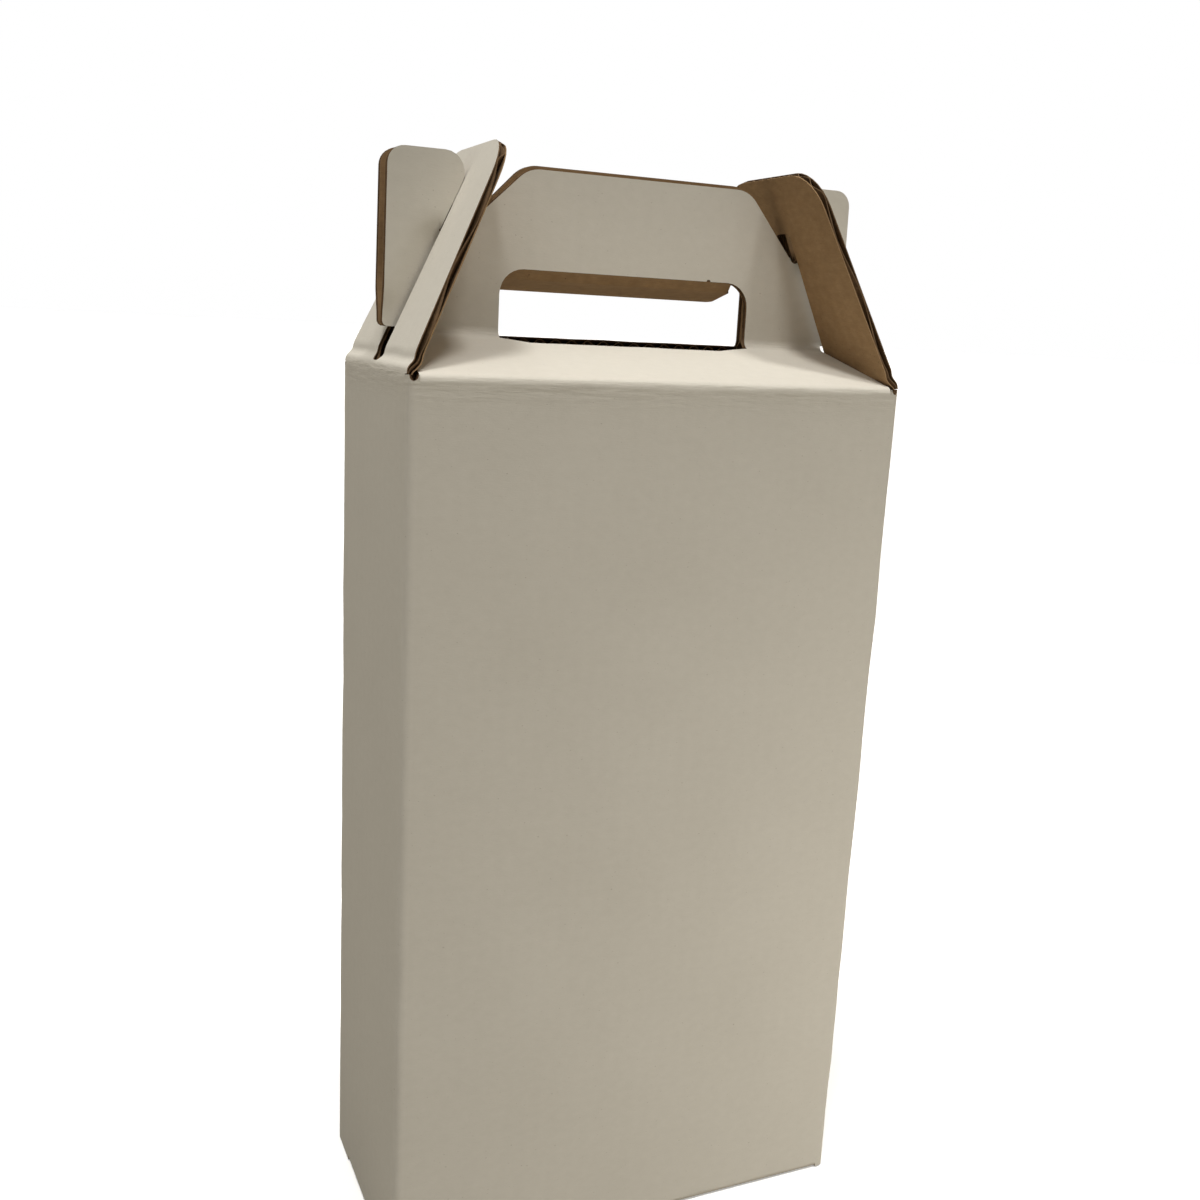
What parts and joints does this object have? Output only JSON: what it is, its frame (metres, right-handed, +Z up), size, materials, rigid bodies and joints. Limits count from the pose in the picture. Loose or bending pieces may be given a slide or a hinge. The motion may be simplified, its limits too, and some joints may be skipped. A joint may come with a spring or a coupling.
{
  "type": "two-bottle wine gift box",
  "caption": "Upright corrugated carrier with a gable roof, doubled carry handle, slotted lock flaps, snap-lock base and a loose bottle divider.",
  "frame": {"origin": "centre of the base, on the surface the box stands on", "axes": "+X to the right along the front wall, +Y from the front wall to the back wall, +Z up"},
  "size_m": [0.19, 0.091, 0.4093],
  "materials": {
    "white_board": "matt white liner",
    "kraft_board": "matt brown kraft liner"
  },
  "bodies": {
    "carton": {"front_panel": "white_board", "back_panel": "white_board", "left_panel": "white_board", "right_panel": "white_board", "glue_tab": "kraft_board", "bottom_back_flap": "white_board", "bottom_left_flap": "white_board", "bottom_right_flap": "white_board", "bottom_front_flap": "white_board", "divider_front_leaf": "kraft_board", "divider_web": "kraft_board", "divider_back_leaf": "kraft_board"},
    "front_roof": {"front_roof": "white_board"},
    "back_roof": {"back_roof": "white_board"},
    "front_handle": {"front_handle": "white_board"},
    "back_handle": {"back_handle": "white_board"},
    "hand_flap": {"hand_flap": "kraft_board"},
    "left_lock_flap": {"left_lock_flap": "white_board"},
    "right_lock_flap": {"right_lock_flap": "white_board"}
  },
  "joints": [
    {"name": "front_roof_lift", "type": "hinge", "parent": "carton", "child": "front_roof", "pos_m": [0, -0.0455, 0.331], "axis": [1, 0, 0], "range_deg": [0, 70]},
    {"name": "back_roof_lift", "type": "hinge", "parent": "carton", "child": "back_roof", "pos_m": [0, 0.0455, 0.331], "axis": [-1, 0, 0], "range_deg": [0, 70]},
    {"name": "front_handle_fold", "type": "hinge", "parent": "front_roof", "child": "front_handle", "pos_m": [0, -0.0002, 0.34126], "axis": [-1, 0, 0], "range_deg": [0, 70]},
    {"name": "back_handle_fold", "type": "hinge", "parent": "back_roof", "child": "back_handle", "pos_m": [0, 0.0002, 0.34126], "axis": [1, 0, 0], "range_deg": [0, 70]},
    {"name": "left_lock_swing", "type": "hinge", "parent": "carton", "child": "left_lock_flap", "pos_m": [-0.095, 0, 0.331], "axis": [0, -1, 0], "range_deg": [0, 196]},
    {"name": "right_lock_swing", "type": "hinge", "parent": "carton", "child": "right_lock_flap", "pos_m": [0.095, 0, 0.331], "axis": [0, 1, 0], "range_deg": [0, 196]},
    {"name": "hand_flap_swing", "type": "hinge", "parent": "back_handle", "child": "hand_flap", "pos_m": [0, 0.0032, 0.367], "axis": [1, 0, 0], "range_deg": [-80, 85]}
  ],
  "couplings": [
    {"joint": "back_roof_lift", "follows": "front_roof_lift", "ratio": 1},
    {"joint": "front_handle_fold", "follows": "front_roof_lift", "ratio": 1},
    {"joint": "back_handle_fold", "follows": "front_roof_lift", "ratio": 1},
    {"joint": "left_lock_swing", "follows": "front_roof_lift", "ratio": 2.8},
    {"joint": "right_lock_swing", "follows": "front_roof_lift", "ratio": 2.8}
  ]
}
